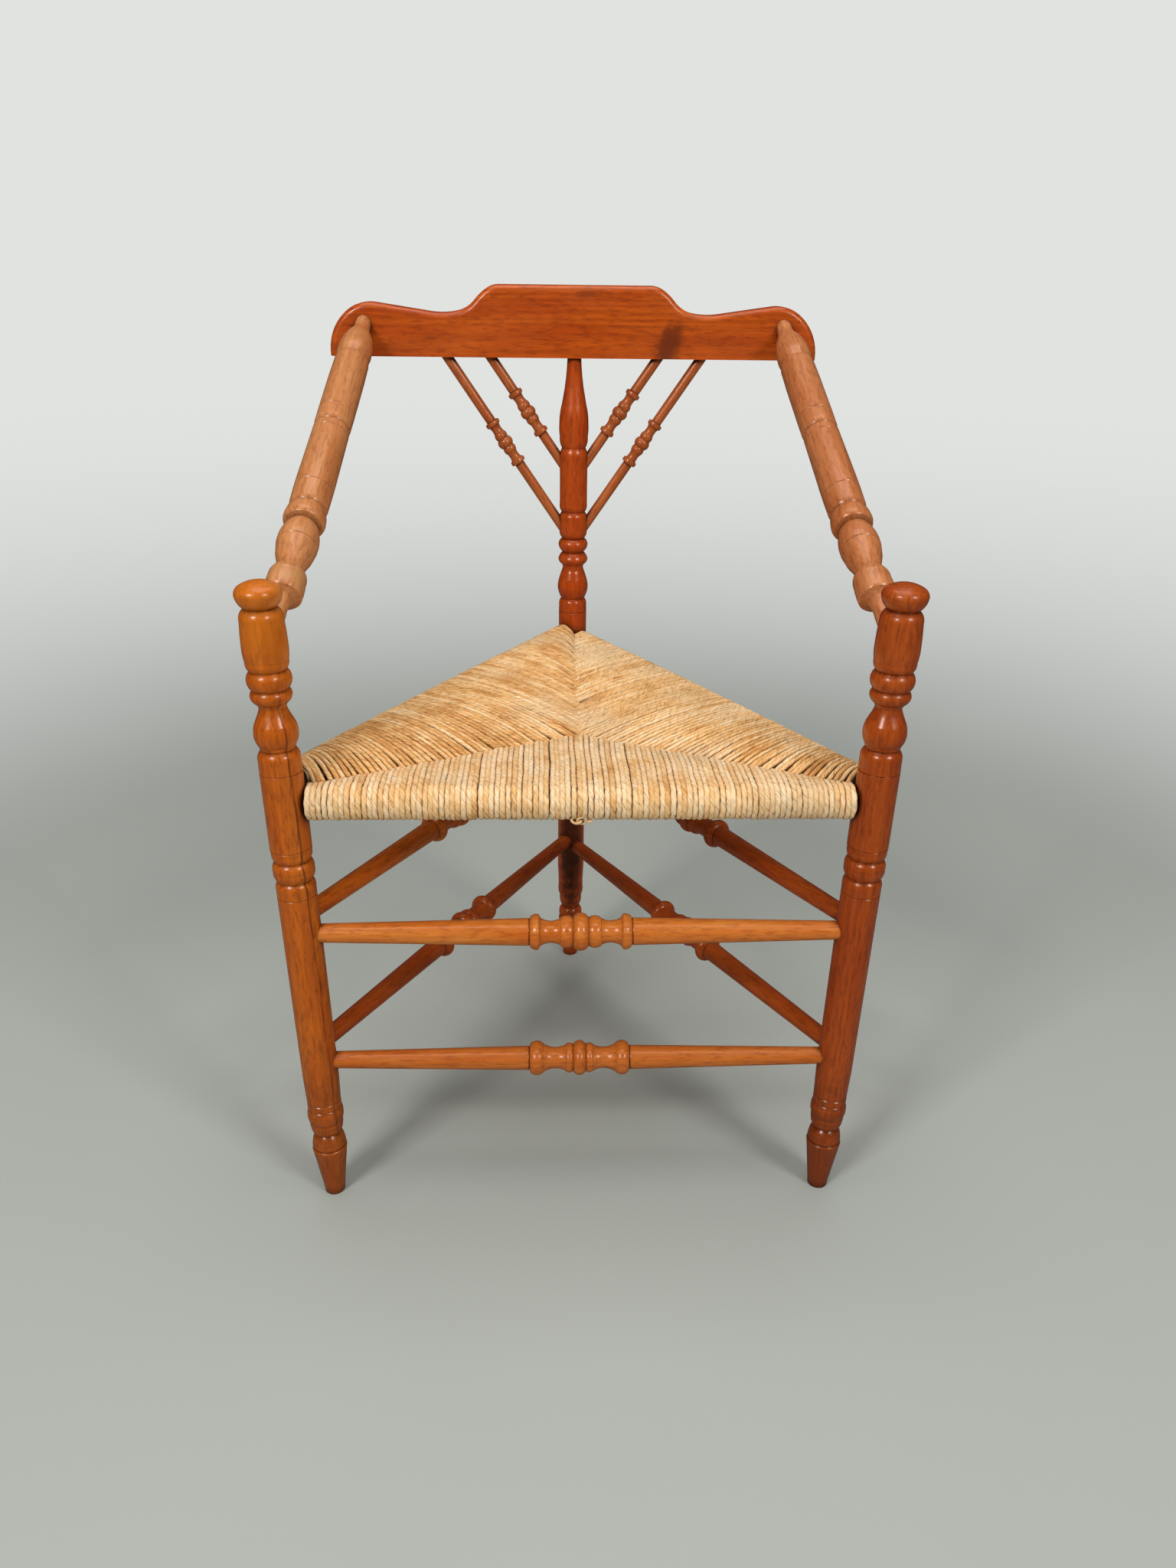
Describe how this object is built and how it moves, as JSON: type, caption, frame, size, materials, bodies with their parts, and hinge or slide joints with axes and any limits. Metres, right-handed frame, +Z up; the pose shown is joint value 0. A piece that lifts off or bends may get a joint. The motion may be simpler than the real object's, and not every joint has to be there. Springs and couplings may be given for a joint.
{
  "type": "corner chair",
  "caption": "Turned wooden corner chair on a triangular woven rush seat, with a shaped crest rail, sloping turned arms and spindles fanning into the back leg.",
  "frame": {"origin": "on the floor, under the middle of the chair's bounding box", "axes": "+Z up, the chair faces -Y, +X is to the right of a person looking at its front"},
  "size_m": [0.5556, 0.4736, 0.8235],
  "materials": {
    "lit_wood": "satin varnish on turned cherry-brown wood",
    "board_wood": "satin varnish on sawn and rounded board",
    "arm_wood": "satin varnish, worn paler on top",
    "stick_wood": "satin varnish on small turnings",
    "rail_wood": "unfinished round rail",
    "rush": "twisted rush cord, matt with a slight sheen",
    "stuffing": "loose cut rush"
  },
  "bodies": {
    "root": {"front_left_leg": "lit_wood", "front_right_leg": "lit_wood", "back_leg": "lit_wood", "crest_rail": "board_wood", "left_arm": "arm_wood", "right_arm": "arm_wood", "left_outer_spindle": "stick_wood", "left_inner_spindle": "stick_wood", "right_inner_spindle": "stick_wood", "right_outer_spindle": "stick_wood", "front_upper_stretcher": "stick_wood", "front_lower_stretcher": "stick_wood", "left_upper_stretcher": "stick_wood", "left_lower_stretcher": "stick_wood", "right_upper_stretcher": "stick_wood", "right_lower_stretcher": "stick_wood", "front_seat_rail": "rail_wood", "left_seat_rail": "rail_wood", "right_seat_rail": "rail_wood", "rush_seat": "rush", "rush_stuffing": "stuffing"}
  },
  "joints": []
}
